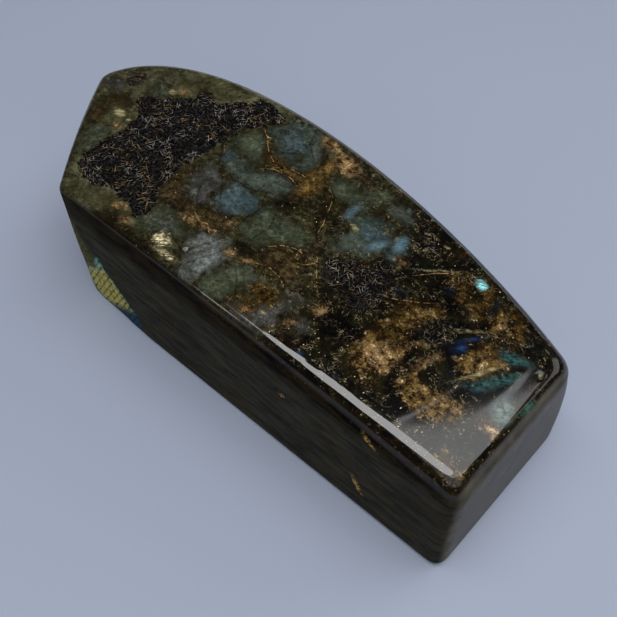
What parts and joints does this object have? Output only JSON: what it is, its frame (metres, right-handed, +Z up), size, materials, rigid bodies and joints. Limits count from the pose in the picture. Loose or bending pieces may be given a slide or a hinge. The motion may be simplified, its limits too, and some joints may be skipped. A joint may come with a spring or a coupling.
{
  "type": "polished labradorite freeform",
  "caption": "Polished labradorite freeform lying on its back: sawn flat base, long flat side, bowed back, slanted tip and gently crowned face.",
  "frame": {"origin": "middle of the stone's box, at the height of the face that it lies on", "axes": "+X from the tip to the sawn base, +Y from the flat side to the bowed back, +Z up from the face that it lies on"},
  "size_m": [0.1196, 0.05, 0.0375],
  "materials": {
    "labradorite": "polished"
  },
  "bodies": {
    "root": {"stone": "labradorite"}
  },
  "joints": []
}
